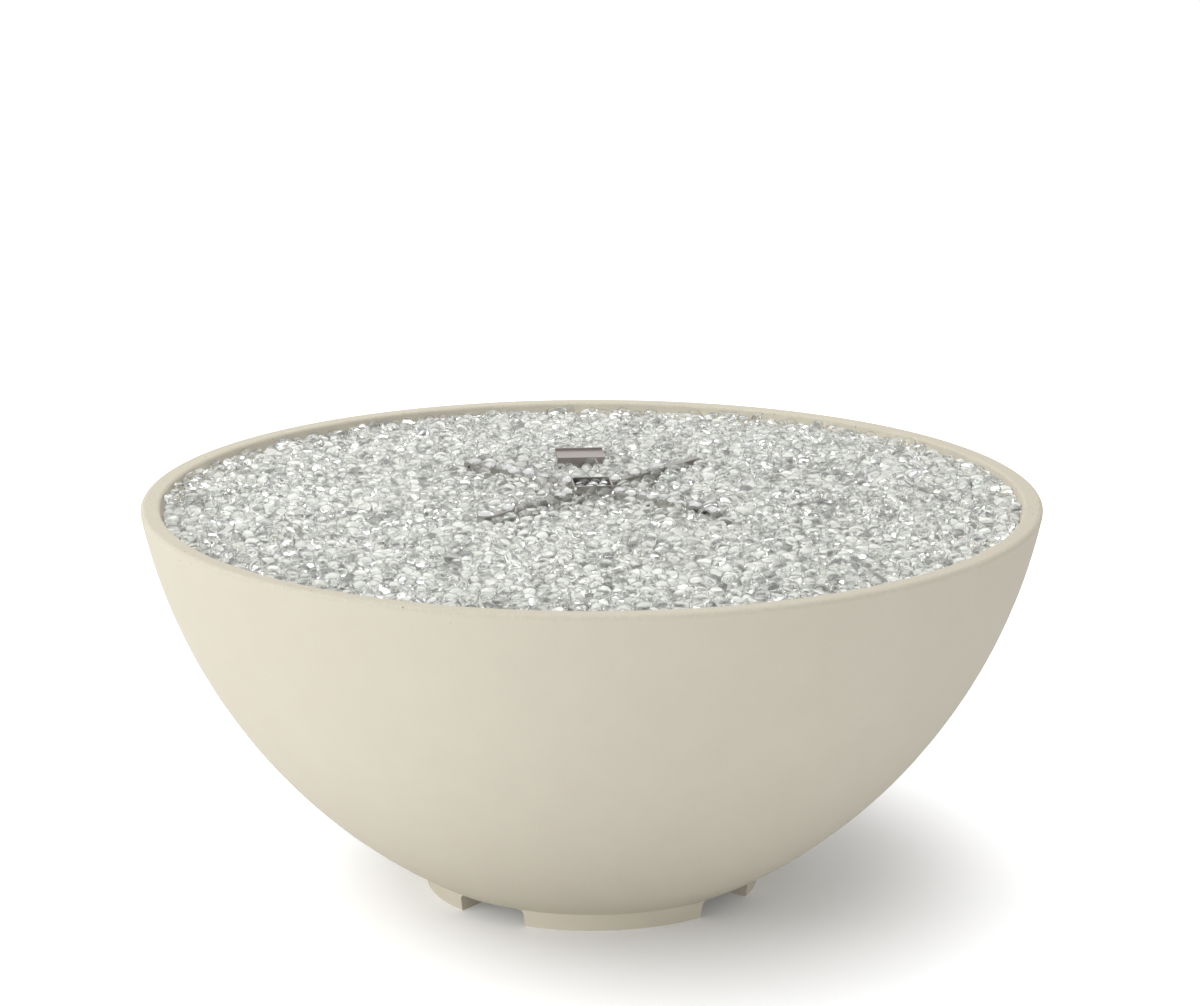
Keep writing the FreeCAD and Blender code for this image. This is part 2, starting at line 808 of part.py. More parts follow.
def ignition_hood():
    hood = centred_box(hood_width, hood_depth, pan_top, hood_top, 0, hood_y)
    inner_width = hood_width - 2 * hood_wall
    inner_depth = hood_depth - 2 * hood_wall
    hood = hood.cut(centred_box(inner_width, inner_depth, pan_top - past, hood_top - hood_wall, 0, hood_y))
    back = hood_y + hood_depth / 2
    hem = box(-hood_width / 2, hood_width / 2, back - hood_wall, back, hood_top, hood_top + hood_hem)
    hood = hood.fuse(hem)
    for side in (-1, 1):
        flange = centred_box(hood_flange, hood_flange_depth, pan_top, pan_top + hood_wall,
                             side * (hood_width + hood_flange) / 2, hood_y)
        hood = hood.fuse(flange)
    for x in hood_screw_places():
        hood = hood.cut(cylinder(hood_screw_diameter + 2 * screw_clearance, pan_top - past,
                                 pan_top + hood_wall + past, x, hood_y))
    front = hood_y - hood_depth / 2
    slot_base = hood_top - hood_slot_drop
    for step in range(hood_slot_count):
        x = (step - (hood_slot_count - 1) / 2) * hood_slot_pitch
        hood = hood.cut(box(x - hood_slot_width / 2, x + hood_slot_width / 2, front - past,
                            front + hood_wall + past, slot_base, slot_base + hood_slot_height))
    return hood.removeSplitter()


def hood_screws():
    return [screw(hood_screw_diameter, hood_screw_length, hood_screw_head, hood_screw_head_height,
                  x, hood_y, pan_top + hood_wall) for x in hood_screw_places()]


def flanged_rod(diameter, top, x):
    rod = cylinder(diameter, pilot_base, top, x, hood_y)
    return rod.fuse(cylinder(pilot_flange, pilot_side_z, pilot_side_z + pilot_flange_height, x, hood_y))


def pilot_bracket():
    plate = centred_box(bracket_width, bracket_depth, pan_top, pilot_side_z, 0, hood_y)
    holes = ((-pilot_spacing, insulator_diameter), (0, pilot_diameter), (pilot_spacing, probe_diameter))
    for x, diameter in holes:
        hole = diameter + 2 * insert_clearance
        plate = plate.cut(cylinder(hole, pan_top - past, pilot_side_z + past, x, hood_y))
    return plate


def pilot_burner():
    pilot_top = hood_top - pilot_room
    pilot = flanged_rod(pilot_diameter, pilot_top, 0)
    pilot = pilot.cut(cylinder(pilot_bore, pilot_base + pilot_floor, pilot_top + past, 0, hood_y))
    slot = centred_box(2 * pilot_diameter, pilot_slot_width, pilot_top - pilot_slot_depth,
                       pilot_top + past, 0, hood_y)
    return pilot.cut(slot)


def electrode_insulator():
    return flanged_rod(insulator_diameter, hood_top - insulator_room, -pilot_spacing)


def electrode_rod():
    start = Vector(-pilot_spacing, hood_y, hood_top - insulator_room)
    bend = start + Vector(0, 0, rod_rise)
    tip = start + Vector(rod_lean, 0, rod_tip)
    return tube([start, bend, tip], rod_diameter)


def thermocouple():
    return flanged_rod(probe_diameter, hood_top - probe_room, pilot_spacing)


# Lines: straight runs joined by tangent arcs

def rounded_path(points):
    edges = []
    start = points[0]
    radii = []
    for before, corner, after in zip(points, points[1:], points[2:]):
        inward = (before - corner).normalize()
        outward = (after - corner).normalize()
        half_turn = (math.pi - inward.getAngle(outward)) / 2
        trim = route_share * min((before - corner).Length, (after - corner).Length)
        radius = trim / math.tan(half_turn)
        enter = corner + inward * trim
        leave = corner + outward * trim
        sag = radius / math.cos(half_turn) - radius
        middle = corner + (inward + outward).normalize() * sag
        edges.append(Part.LineSegment(start, enter).toShape())
        edges.append(Part.Arc(enter, middle, leave).toShape())
        start = leave
        radii.append(round(radius))
    edges.append(Part.LineSegment(start, points[-1]).toShape())
    return Part.Wire(edges), radii


def tube(points, diameter):
    path, radii = rounded_path(points)
    direction = points[1] - points[0]
    section = Part.Wire(Part.makeCircle(diameter / 2, points[0], direction))
    solid = path.makePipeShell([section], True, False)
    expected = math.pi * diameter ** 2 / 4 * path.Length
    print("  length", round(path.Length), "radii", radii, "volume ratio", round(solid.Volume / expected, 4))
    return solid


def gas_line():
    start = panel_point(knob_x, 0, port_end)
    end = Vector(0, elbow_size / 2 + elbow_nipple_length, elbow_axis)
    leaving = panel_point(knob_x, 0, port_end - gas_line_exit)
    level = Vector(end.x, end.y + gas_line_level, end.z)
    span = level - leaving
    upper = leaving + span * gas_line_rise_share + Vector(0, 0, gas_line_rise)
    lower = leaving + span * gas_line_dip_share - Vector(0, 0, gas_line_rise)
    points = [start, leaving, upper, lower, level, end]
    return tube(points, gas_line_diameter)


def pilot_line(x, diameter, port_x, port_y, port_z, sag):
    start = panel_point(port_x, port_y, port_z)
    leaving = panel_point(port_x, port_y, port_z - line_exit)
    below = Vector(x, hood_y, ledge_z - line_drop)
    middle = Vector((start.x + x) / 2, (leaving.y + below.y) / 2, below.z - sag)
    return tube([start, leaving, middle, below, Vector(x, hood_y, pilot_base)], diameter)


def pilot_tube():
    port_x = knob_x + port_offset_x
    return pilot_line(0, pilot_tube_diameter, port_x, port_offset_y, port_end, pilot_tube_sag)


def thermocouple_lead():
    port_x = knob_x - port_offset_x
    return pilot_line(pilot_spacing, probe_lead_diameter, port_x, port_offset_y, port_end, lead_sag)


def igniter_lead():
    terminal_end = igniter_back - terminal_length
    return pilot_line(-pilot_spacing, spark_lead_diameter, igniter_x, 0, terminal_end, lead_sag)


def build():
    os.makedirs("parts", exist_ok=True)
    write("bowl_shell", bowl_shell())
    write("burner_pan", burner_pan())
    write("fire_glass", fire_glass())
    write("burner_hub", burner_hub())
    for place, angle in arm_angles.items():
        write("burner_arm_" + place, burner_arm(angle))
        write("arm_cap_" + place, arm_cap(angle))
    write("burner_riser", burner_riser())
    write("riser_locknuts", *riser_locknuts())
    write("air_mixer", air_mixer())
    write("air_shutter", air_shutter())
    write("shutter_screw", shutter_screw())
    write("gas_orifice", gas_orifice())
    write("mixer_elbow", mixer_elbow())
    write("gas_line", gas_line())
    write("ignition_hood", ignition_hood())
    write("hood_screws", *hood_screws())
    write("pilot_bracket", pilot_bracket())
    write("pilot_burner", pilot_burner())
    write("electrode_insulator", electrode_insulator())
    write("electrode_rod", electrode_rod())
    write("thermocouple", thermocouple())
    write("pilot_tube", pilot_tube())
    write("thermocouple_lead", thermocouple_lead())
    write("igniter_lead", igniter_lead())
    write("control_panel", on_panel(control_panel()))
    write("panel_screws", *[on_panel(s) for s in panel_screws()])
    write("gas_valve", on_panel(gas_valve()))
    write("valve_screws", *[on_panel(s) for s in valve_screws()])
    write("gas_inlet", on_panel(gas_inlet()))
    write("valve_stem", on_panel(valve_stem()))
    write("thrust_collar", on_panel(thrust_collar()))
    write("knob_spring", on_panel(knob_spring()))
    write("control_knob", on_panel(control_knob()))
    write("igniter_body", on_panel(igniter_body()))
    write("igniter_nut", on_panel(igniter_nut()))
    write("igniter_battery", on_panel(igniter_battery()))
    write("igniter_cap", on_panel(igniter_cap()))
    write("igniter_button", on_panel(igniter_button()))
    write("button_spring", on_panel(button_spring()))


build()
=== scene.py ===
import json
import math

import bmesh
import bpy
import numpy as np
from mathutils import Euler, Matrix, Vector, noise
from mathutils.bvhtree import BVHTree


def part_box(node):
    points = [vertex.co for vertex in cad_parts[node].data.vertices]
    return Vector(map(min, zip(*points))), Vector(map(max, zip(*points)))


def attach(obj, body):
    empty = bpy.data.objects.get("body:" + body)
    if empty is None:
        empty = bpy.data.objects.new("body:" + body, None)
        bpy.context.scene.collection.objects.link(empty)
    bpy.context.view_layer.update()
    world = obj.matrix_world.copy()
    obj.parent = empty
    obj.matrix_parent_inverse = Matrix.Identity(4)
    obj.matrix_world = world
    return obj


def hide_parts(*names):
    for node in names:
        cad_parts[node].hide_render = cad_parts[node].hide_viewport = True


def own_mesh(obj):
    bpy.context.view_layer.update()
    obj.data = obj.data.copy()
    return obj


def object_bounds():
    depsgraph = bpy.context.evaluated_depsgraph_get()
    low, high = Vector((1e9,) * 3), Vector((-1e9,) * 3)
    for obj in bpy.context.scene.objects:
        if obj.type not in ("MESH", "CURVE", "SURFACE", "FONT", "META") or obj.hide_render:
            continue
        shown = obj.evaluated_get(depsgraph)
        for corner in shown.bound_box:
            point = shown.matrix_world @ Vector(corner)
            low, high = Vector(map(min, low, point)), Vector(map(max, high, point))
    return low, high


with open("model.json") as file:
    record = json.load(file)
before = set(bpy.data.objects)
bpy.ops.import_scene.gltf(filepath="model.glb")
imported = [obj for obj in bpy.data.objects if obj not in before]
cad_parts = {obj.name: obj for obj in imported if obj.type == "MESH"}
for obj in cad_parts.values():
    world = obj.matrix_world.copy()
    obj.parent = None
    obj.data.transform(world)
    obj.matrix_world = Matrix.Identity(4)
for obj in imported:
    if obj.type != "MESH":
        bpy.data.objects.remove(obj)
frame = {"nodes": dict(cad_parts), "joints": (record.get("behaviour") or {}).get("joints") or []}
cad_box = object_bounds()

# Lengths are in metres, unless a comment says otherwise. +Z is up, the floor is z = 0, and the control
# panel is at +Y.

# Heights read from the frame. No nugget comes nearer to the top of the CAD box than the margin.
top_margin = 0.0002
highest = cad_box[1][2] - top_margin
rim_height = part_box("bowl_shell")[1].z
arm_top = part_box("burner_arm_front_left")[1].z

# Camera
image_width = 1200
focal_pixels = 4217
sensor_width = 36.0
camera_distance = 5.0
camera_elevation = math.radians(13.92)
camera_turn = math.radians(-4.9)
camera_far = 100
aim_right = 0.0098
aim_height = 0.4648

# Light: the studio is what metal and glass see, and it is darker on the camera's side
fill_strength = 0.57
studio_bright = 1.0
studio_dark = 0.20
studio_dark_from = 0.15
studio_dark_to = 0.6
key_place = (-4.5, -1.7, 0.9)
key_size = 2.0
key_power = 84.0
overhead_place = (-0.5, 0.6, 3.4)
overhead_size = 3.2
overhead_power = 52.0
front_place = (0.6, -4.5, 0.3)
front_size = 1.4
front_power = 31.0
light_aim_height = 0.3
light_bounces = 32

# Floor: what the camera sees of it glows, and less so near the bowl, so that it turns white away from it.
# The weaker glow in an oval around the bowl is a painted shadow.
floor_size = 30.0
floor_tint = (0.945, 0.955, 0.985, 1)
floor_scuffs = 0.995
floor_glow_in_painted_shadow = 0.075
floor_glow_far = 0.5
floor_painted_shadow_inner = 0.20
floor_painted_shadow_outer = 0.48
floor_painted_shadow_middle = (0.10, 0.08)
floor_painted_shadow_squeeze = 0.7

# Materials. A noise texture's values lie nearly all within the noise range.
noise_range = (0.3, 0.7)
white = (1, 1, 1, 1)
concrete_roughness = (0.74, 0.88)
concrete_gloss = 0.35
# Depths below the top of the rim over which the concrete's coarse grain and its pinholes come in
grain_depths = (0.007, 0.002)
pinhole_depths = (0.035, 0.015)
pinhole_cells = 90.0
pinhole_sizes = (0.0, 0.11)
pinhole_inner_share = 0.6
pinhole_outer_gap = 0.0001
# How dark the pinholes are: painted shade in the holes.
pinhole_painted_shade = 0.35
glass_ior = 1.5
glass_tints = ((0.965, 0.985, 0.965, 1), (0.993, 0.995, 0.99, 1), (0.99, 0.985, 0.96, 1))
# Painted shade along the nuggets' outlines: how dark the glass gets at its edge, and over which facing
# range.
glass_edge_painted_shade = 0.05
glass_painted_edge_range = (0.50, 0.88)
# A darker copy of the clear glass for the nuggets in the tray and on the arms: painted shade.
painted_shade_glass_share = 0.72
# Buried sheet: the colour of its painted bright spots, and how dark the painted shade in its gaps is.
buried_painted_bright = (0.98, 0.99, 0.945, 1)
buried_painted_shade_share = 0.20
buried_cells = 84.0
buried_roughness = 0.25

# Pebble shapes, which the nuggets share
pebble_variants = 10
fine_level = 3
coarse_level = 2
pebble_swell = 0.16
pebble_swell_scale = 0.9
pebble_noise_steps = (3.7, 1.9, 5.3)

# Glass nuggets, settled in a space where their height is stretched to their width
nugget_radius = 0.0088
nugget_spread = 0.0012
nugget_least = 0.0066
nugget_most = 0.0108
nugget_flatness = 0.66
nugget_tilt = 0.28
nugget_flat_tilt = 0.10
nugget_stretch = 0.08
nugget_shrink = 0.98
nugget_tint_shape = 3
scale_up = np.array([1, 1, nugget_flatness])
settle_steps = 60
settle_fall = 0.0006
settle_push = 0.8
settle_jitter = 0.002
pairs_every = 4
pairs_reach = 1.08
tiny = 1e-6
random_seed = 11

# Glass bed
bed_depth = 0.019
bed_packing = 0.66
bed_crown = 0.4865
bed_front = 0.466
bed_side = 0.471
bed_back = 0.467
bed_limit = 0.4908
bed_shoulder = 0.20
bed_slope_power = 1.6
bed_lumps = 0.003
bed_lump_scale = 14
bed_lump_slice = 0.5
bed_sectors = 10
top_layer = 0.010
wall_steps = 16
wall_top_gap = 0.001
# Places where the bed is heaped or hollowed: angle in degrees, distance from the middle, spread, rise
bed_heaps = (
    (315, 0.050, 0.035, 0.004),
    (312, 0.105, 0.040, 0.005),
    (310, 0.150, 0.035, 0.004),
    (140, 0.060, 0.030, 0.004),
    (240, 0.080, 0.030, -0.002),
    (222, 0.160, 0.025, 0.002),
    (30, 0.080, 0.030, -0.002),
    (38, 0.120, 0.020, 0.002),
    (270, 0.045, 0.030, 0.004),
    (270, 0.034, 0.016, 0.003),
    (90, 0.134, 0.024, -0.013),
)
# Nuggets in the tray on the hub: x, y and radius in millimetres
tray_nuggets = (
    (-14.5, -12, 6.6), (-3, -13.5, 7.0), (11, -12, 7.4),
    (-13, 2.5, 7.2), (1, 0.5, 7.0), (14.5, 2, 6.2),
    (-8, 14, 6.8), (6, 13.5, 7.0), (16.5, 15, 5.4),
)
# Nuggets on top of the arms: distance along the arm, offset across it and radius in millimetres
arm_nuggets = {
    "rear_right": ((46, 3, 8.6), (84, 3, 8.0), (112, -3, 8.2), (127, 3, 8.8)),
    "rear_left": ((40, 1, 8.8), (57, -3, 8.2), (73, 3, 9.0), (101, -2, 8.6),
                  (118, 4, 8.4), (135, -3, 9.0), (160, 2, 8.6), (188, -3, 8.8)),
    "front_left": ((42, -3, 8.4), (62, 4, 8.8), (146, -3, 8.8), (186, -4, 8.6)),
    "front_right": ((42, 2, 8.8), (60, -3, 8.6), (77, 4, 8.2), (93, -2, 9.0),
                    (122, 2, 8.6), (139, -4, 8.4), (156, 3, 9.0), (185, -3, 8.8)),
}
arm_degrees = {"rear_right": 45, "rear_left": 135, "front_left": 225, "front_right": 315}
arm_rest_gap = 0.0001

# Buried sheet: its rings and spokes, its gaps to the wall, and its height above the bed's depth
buried_rings = 90
buried_spokes = 240
buried_wall_gap = 0.002
buried_limit_gap = 0.0015
buried_rise = 0.003

# Springs
spring_turns = 6
spring_closed_turns = 1
spring_steps_per_turn = 28
spring_wire_spokes = 10
spring_wire_share = 0.9


def linear(red, green, blue):
    """A colour written as 0 to 255 screen values, as linear light."""
    channels = []
    for value in (red, green, blue):
        share = value / 255
        channels.append(share / 12.92 if share <= 0.04045 else ((share + 0.055) / 1.055) ** 2.4)
    return (*channels, 1.0)


def shade(colour, factor):
    return tuple(min(1.0, channel * factor) for channel in colour[:3]) + (1.0,)


# Node helpers

def start_material(name):
    material = bpy.data.materials.new(name)
    material.use_nodes = True
    tree = material.node_tree
    return material, tree, tree.nodes["Principled BSDF"]


def plug(tree, target, value):
    if isinstance(value, bpy.types.NodeSocket):
        tree.links.new(value, target)
    else:
        target.default_value = value


def add(tree, kind, inputs=None, **settings):
    made = tree.nodes.new(kind)
    for name, value in settings.items():
        setattr(made, name, value)
    for name, value in (inputs or {}).items():
        plug(tree, made.inputs[name], value)
    return made


def place_of(tree, scale=(1, 1, 1)):
    """Object coordinates, which are the frame's own metres."""
    source = add(tree, "ShaderNodeTexCoord").outputs["Object"]
    return add(tree, "ShaderNodeMapping", {"Vector": source, "Scale": scale}).outputs[0]


def cloud(tree, place, scale, detail=3.0, rough=0.55):
    inputs = {"Vector": place, "Scale": scale, "Detail": detail, "Roughness": rough}
    return add(tree, "ShaderNodeTexNoise", inputs).outputs["Fac"]


def cell_distance(tree, place, scale):
    return add(tree, "ShaderNodeTexVoronoi", {"Vector": place, "Scale": scale}).outputs["Distance"]


def spread(tree, value, source, target=(0.0, 1.0), **settings):
    """A value mapped from one range to another, and held at its ends."""
    inputs = {"Value": value, "From Min": source[0], "From Max": source[1],
              "To Min": target[0], "To Max": target[1]}
    return add(tree, "ShaderNodeMapRange", inputs, **settings).outputs[0]


def maths(tree, operation, first, second):
    made = add(tree, "ShaderNodeMath", operation=operation)
    plug(tree, made.inputs[0], first)
    plug(tree, made.inputs[1], second)
    return made.outputs[0]


def weighted(tree, *parts):
    """The sum of values, each times its weight."""
    products = [maths(tree, "MULTIPLY", value, weight) for value, weight in parts]
    total = products[0]
    for product in products[1:]:
        total = maths(tree, "ADD", total, product)
    return total


def mix(tree, factor, first, second):
    return add(tree, "ShaderNodeMix", {"Factor": factor, "A": first, "B": second}).outputs["Result"]


def vector_maths(tree, operation, inputs):
    return add(tree, "ShaderNodeVectorMath", inputs, operation=operation).outputs


def ramp(tree, value, positions, colours):
    made = add(tree, "ShaderNodeValToRGB", {"Fac": value})
    elements = made.color_ramp.elements
    while len(elements) < len(colours):
        elements.new(0.5)
    for element, position, colour in zip(elements, positions, colours):
        element.position = position
        element.color = colour
    return made.outputs["Color"]


def bump(tree, height, strength, distance, normal=None):
    inputs = {"Height": height, "Strength": strength, "Distance": distance}
    if normal is not None:
        inputs["Normal"] = normal
    return add(tree, "ShaderNodeBump", inputs).outputs[0]


# Materials

def concrete():
    """Pale cast concrete: faint clouds, a fine grain, and a rim with more grain and a few pinholes, whose
    darkness is painted shade.
    """
    material, tree, shader = start_material("cast_concrete")
    place = place_of(tree)
    height = add(tree, "ShaderNodeSeparateXYZ", {0: place}).outputs["Z"]
    broad = cloud(tree, place, scale=3.0, detail=2.0)
    middle = cloud(tree, place, scale=22.0)
    fine = cloud(tree, place, scale=420.0, detail=2.0)
    tone = weighted(tree, (broad, 0.45), (middle, 0.35), (fine, 0.20))
    darker = shade(linear(215, 207, 190), 0.975)
    lighter = shade(linear(214, 208, 190), 1.02)
    colour = ramp(tree, tone, (0.36, 0.64), (darker, lighter))

    near_rim = spread(tree, height, [rim_height - depth for depth in grain_depths])
    speckle = spread(tree, cloud(tree, place, scale=330.0, rough=0.7), (0.35, 0.65), (0.93, 1.05))
    speckle = mix(tree, near_rim, 1.0, speckle)

    # Pinholes near the rim, darkened as painted shade in the holes.
    pitted = spread(tree, height, [rim_height - depth for depth in pinhole_depths])
    chosen = spread(tree, cloud(tree, place, scale=11.0, detail=1.0), (0.51, 0.58), pinhole_sizes)
    size = maths(tree, "MULTIPLY", chosen, pitted)
    inner = maths(tree, "MULTIPLY", size, pinhole_inner_share)
    outer = maths(tree, "ADD", size, pinhole_outer_gap)
    cells = cell_distance(tree, place, pinhole_cells)
    pinhole = spread(tree, cells, (inner, outer), (pinhole_painted_shade, 1.0))

    # The rim's grain times the pinholes' painted shade darkens the colour.
    grain_and_painted_shade = maths(tree, "MULTIPLY", speckle, pinhole)
    shaded = vector_maths(tree, "SCALE", {0: colour, "Scale": grain_and_painted_shade})[0]
    plug(tree, shader.inputs["Base Color"], shaded)
    plug(tree, shader.inputs["Roughness"], spread(tree, middle, noise_range, concrete_roughness))
    surface = bump(tree, fine, strength=0.25, distance=0.0004)
    surface = bump(tree, middle, strength=0.2, distance=0.0006, normal=surface)
    surface = bump(tree, pinhole, strength=0.6, distance=0.0006, normal=surface)
    plug(tree, shader.inputs["Normal"], surface)
    shader.inputs["Specular IOR Level"].default_value = concrete_gloss
    return material


def metal(name, base, roughness, grain=(4.0, 4.0, 900.0), streak=0.06, metallic=1.0):
    material, tree, shader = start_material(name)
    lines = cloud(tree, place_of(tree, grain), scale=1.0, detail=4.0, rough=0.6)
    stains = cloud(tree, place_of(tree), scale=40.0)
    tone = weighted(tree, (lines, 0.6), (stains, 0.4))
    colour = ramp(tree, tone, noise_range, (shade(base, 1 - streak), shade(base, 1 + streak)))
    plug(tree, shader.inputs["Base Color"], colour)
    gloss = spread(tree, tone, noise_range, (roughness * 0.8, roughness * 1.2))
    plug(tree, shader.inputs["Roughness"], gloss)
    plug(tree, shader.inputs["Normal"], bump(tree, lines, strength=0.12, distance=0.0002))
    shader.inputs["Metallic"].default_value = metallic
    return material


def moulded(name, base, roughness):
    """Ceramic, plastic or rubber, with a fine surface texture and a little dust."""
    material, tree, shader = start_material(name)
    texture = cloud(tree, place_of(tree), scale=700.0, detail=2.0)
    dust = cloud(tree, place_of(tree), scale=60.0)
    colour = ramp(tree, dust, noise_range, (shade(base, 0.9), shade(base, 1.12)))
    plug(tree, shader.inputs["Base Color"], colour)
    gloss = spread(tree, dust, noise_range, (roughness * 0.88, roughness * 1.12))
    plug(tree, shader.inputs["Roughness"], gloss)
    plug(tree, shader.inputs["Normal"], bump(tree, texture, strength=0.3, distance=0.00015))
    return material


def clear_glass(name, share=1.0):
    """Clear glass, with painted shade at its edge, where the sight line runs through it at a slant."""
    material, tree, shader = start_material(name)
    tint = add(tree, "ShaderNodeAttribute", attribute_name="tint").outputs["Fac"]
    colour = ramp(tree, tint, (0.0, 0.5, 1.0), glass_tints)
    # Painted shade: the glass's colour darkens towards its outline.
    slant = add(tree, "ShaderNodeLayerWeight", {"Blend": 0.5}).outputs["Facing"]
    edge = spread(tree, slant, glass_painted_edge_range, (share, glass_edge_painted_shade * share))
    tinted = vector_maths(tree, "SCALE", {0: colour, "Scale": edge})[0]
    plug(tree, shader.inputs["Base Color"], tinted)
    ripple = cloud(tree, place_of(tree), scale=180.0, detail=1.0)
    plug(tree, shader.inputs["Normal"], bump(tree, ripple, strength=0.1, distance=0.0004))
    shader.inputs["Roughness"].default_value = 0.0
    shader.inputs["IOR"].default_value = glass_ior
    shader.inputs["Transmission Weight"].default_value = 1.0
    return material


def buried_glass():
    """The deeper nuggets, seen only through those above: painted bright spots that stand in for light
    focused through the glass, and painted shade in the darker gaps.
    """
    material, tree, shader = start_material("buried_glass")
    place = place_of(tree, (1, 1, 1.5))
    cells = cell_distance(tree, place, buried_cells)
    streaks = cloud(tree, place, scale=230.0, detail=2.0, rough=0.6)
    tone = weighted(tree, (cells, 0.75), (streaks, 0.5))
    colour = ramp(tree, tone, (0.63, 0.81), (buried_painted_bright, shade(buried_painted_bright, buried_painted_shade_share)))
    plug(tree, shader.inputs["Base Color"], colour)
    plug(tree, shader.inputs["Normal"], bump(tree, cells, strength=0.8, distance=0.004))
    shader.inputs["Roughness"].default_value = buried_roughness
    return material


# Room for the glass bed

def inner_wall():
    """Heights and radii of the bowl's inner wall, found by rays from the middle."""
    mesh = frame["nodes"]["bowl_shell"].data
    tree = BVHTree.FromPolygons([v.co for v in mesh.vertices], [p.vertices for p in mesh.polygons])
    heights = np.linspace(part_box("burner_pan")[0].z, rim_height - wall_top_gap, wall_steps)
    radii = [tree.ray_cast(Vector((0, 0, z)), Vector((1, 0, 0)))[3] for z in heights]
    return heights, np.array(radii)


def own_box(nodes, turn):
    """Lowest and highest corners of what stands above the bed's side, in axes turned about Z."""
    back = Matrix.Rotation(-turn, 3, "Z")
    points = [back @ v.co for n in nodes for v in frame["nodes"][n].data.vertices if v.co.z > bed_side]
    return np.min(points, 0), np.max(points, 0)


def burner_blocks():
    blocks = []
    for arm, degrees in arm_degrees.items():
        turn = math.radians(degrees)
        blocks.append((turn, *own_box(["burner_arm_" + arm, "arm_cap_" + arm], turn)))
    for node in ("burner_hub", "ignition_hood"):
        blocks.append((0.0, *own_box([node], 0.0)))
    return blocks


def bed_top(x, y):
    """Height of the bed's upper side."""
    radius = np.hypot(x, y)
    ahead = np.sin(np.arctan2(y, x))
    edge = bed_side + np.clip(ahead, 0, 1) ** 2 * (bed_back - bed_side)
    edge += np.clip(-ahead, 0, 1) ** 2 * (bed_front - bed_side)
    share = np.clip((radius - bed_shoulder) / (top_wall_radius - bed_shoulder), 0, 1)
    lumps = [noise.noise(Vector((a * bed_lump_scale, b * bed_lump_scale, bed_lump_slice)))
             for a, b in zip(np.ravel(x), np.ravel(y))]
    slope = (edge - bed_crown) * share ** bed_slope_power
    top = bed_crown + slope + bed_lumps * np.reshape(lumps, np.shape(x))
    for degrees, distance, width, rise in bed_heaps:
        turn = math.radians(degrees)
        away = np.hypot(x - distance * math.cos(turn), y - distance * math.sin(turn))
        top = top + rise * np.exp(-(away / width) ** 2)
    return np.minimum(top, bed_limit)


# Settling of the nuggets

def close_pairs(place, reach):
    """Index pairs of the points nearer to each other than a distance, found through a grid of cells."""
    cell = np.floor((place - place.min(0)) / reach).astype(np.int64) + 1
    size = cell.max(0) + 2
    strides = np.array([size[1] * size[2], size[2], 1])
    key = cell @ strides
    order = np.argsort(key, kind="stable")
    ordered = key[order]
    around = (-1, 0, 1)
    steps = [(a, b, c) for a in around for b in around for c in around if (a, b, c) >= (0, 0, 0)]
    found = []
    for step in steps:
        wanted = key + np.dot(step, strides)
        start = np.searchsorted(ordered, wanted, "left")
        count = np.searchsorted(ordered, wanted, "right") - start
        first = np.repeat(np.arange(len(place)), count)
        along = np.arange(count.sum()) - np.repeat(np.cumsum(count) - count, count)
        second = order[np.repeat(start, count) + along]
        if step == (0, 0, 0):
            keep = first < second
            first, second = first[keep], second[keep]
        near = ((place[first] - place[second]) ** 2).sum(1) < reach ** 2
        found.append((first[near], second[near]))
    return np.concatenate([f for f, s in found]), np.concatenate([s for f, s in found])


def push_apart(place, radius, first, second):
    gap = place[second] - place[first]
    length = np.maximum(np.linalg.norm(gap, axis=1), tiny)
    overlap = np.clip(radius[first] + radius[second] - length, 0, None)
    move = gap * (0.5 * overlap / length)[:, None]
    for axis in range(3):
        place[:, axis] += np.bincount(second, move[:, axis], len(place)) * settle_push
        place[:, axis] -= np.bincount(first, move[:, axis], len(place)) * settle_push


def keep_inside(place, radius, top, bottom):
    place[:, 2] = np.clip(place[:, 2], bottom + radius, np.maximum(top - radius, bottom + radius))
    reach = np.hypot(place[:, 0], place[:, 1])
    wall = np.interp(place[:, 2] * nugget_flatness, wall_heights, wall_radii) - radius
    share = np.minimum(1, wall / np.maximum(reach, tiny))
    place[:, 0] *= share
    place[:, 1] *= share


def keep_off_blocks(place, radius, blocks):
    for turn, low, high in blocks:
        cos, sin = math.cos(turn), math.sin(turn)
        own = np.column_stack([place[:, 0] * cos + place[:, 1] * sin,
                               place[:, 1] * cos - place[:, 0] * sin, place[:, 2]])
        low_side = own - (low / scale_up - radius[:, None])
        high_side = (high / scale_up + radius[:, None]) - own
        inside = (low_side > 0).all(1) & (high_side > 0).all(1)
        sides = np.column_stack([low_side[:, :2], high_side[:, :2]])
        nearest = sides.argmin(1)
        for side in range(4):
            chosen = inside & (nearest == side)
            axis = side % 2
            own[chosen, axis] += sides[chosen, side] * (-1 if side < 2 else 1)
        place[:, 0] = own[:, 0] * cos - own[:, 1] * sin
        place[:, 1] = own[:, 0] * sin + own[:, 1] * cos


